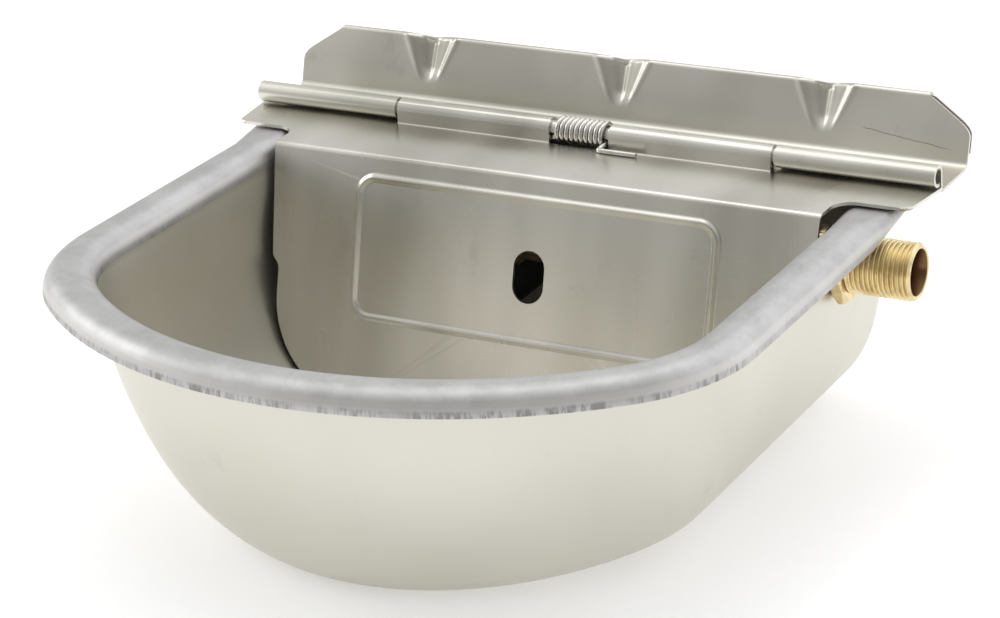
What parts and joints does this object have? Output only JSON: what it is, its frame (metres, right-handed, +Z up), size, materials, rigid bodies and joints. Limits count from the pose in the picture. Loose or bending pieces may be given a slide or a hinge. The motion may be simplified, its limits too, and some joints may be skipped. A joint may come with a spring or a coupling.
{
  "type": "livestock drinking bowl",
  "caption": "Wall-hung stainless drinking bowl: deep D-shaped basin, rolled rim, sprung hinged baffle cover over a float valve, and a brass side inlet.",
  "frame": {"origin": "on the wall face, midway between the two fixing holes of the bowl's rear wall", "axes": "+X across the bowl towards the inlet, +Y towards the wall, +Z up"},
  "size_m": [0.2847, 0.27, 0.119],
  "materials": {
    "stainless_satin": "satin drawn stainless steel sheet",
    "stainless_pin": "plain stainless wire and bar",
    "spring_steel": "drawn stainless spring wire",
    "brass": "machined brass, slightly dulled",
    "nylon": "natural nylon",
    "black_rubber": "smooth black rubber",
    "fibre_washer": "pressed fibre",
    "float_plastic": "moulded black polyethylene"
  },
  "bodies": {
    "bowl": {"bowl_body": "stainless_satin", "rear_hinge_plate": "stainless_satin", "hinge_pin": "stainless_pin", "valve_body": "brass", "valve_seat": "nylon", "barrel_cap": "brass", "inlet_gasket": "black_rubber", "inlet_washer": "fibre_washer", "inlet_lock_nut": "brass", "lever_pivot_pin": "stainless_pin"},
    "cover": {"splash_cover": "stainless_satin", "hinge_spring": "spring_steel"},
    "float": {"float_lever": "brass", "float_rod": "brass", "rod_lock_nut": "brass", "float_lock_nut": "brass", "float_body": "float_plastic"},
    "plunger": {"valve_plunger": "brass", "plunger_seal": "black_rubber"}
  },
  "joints": [
    {"name": "cover_hinge", "type": "hinge", "parent": "bowl", "child": "cover", "pos_m": [0, -0.0382, 0.0186], "axis": [-1, 0, 0], "range_deg": [0, 145], "stiffness_Nm_per_rad": 0.15, "springref_deg": -45.84},
    {"name": "float_pivot", "type": "hinge", "parent": "bowl", "child": "float", "pos_m": [0.0818, -0.0667, -0.0185], "axis": [0, -1, 0], "range_deg": [0, 12]},
    {"name": "plunger_slide", "type": "slide", "parent": "bowl", "child": "plunger", "axis": [-1, 0, 0], "range_m": [0, 0.0026]}
  ],
  "couplings": [
    {"joint": "plunger_slide", "follows": "float_pivot", "m_per_rad": 0.012}
  ]
}
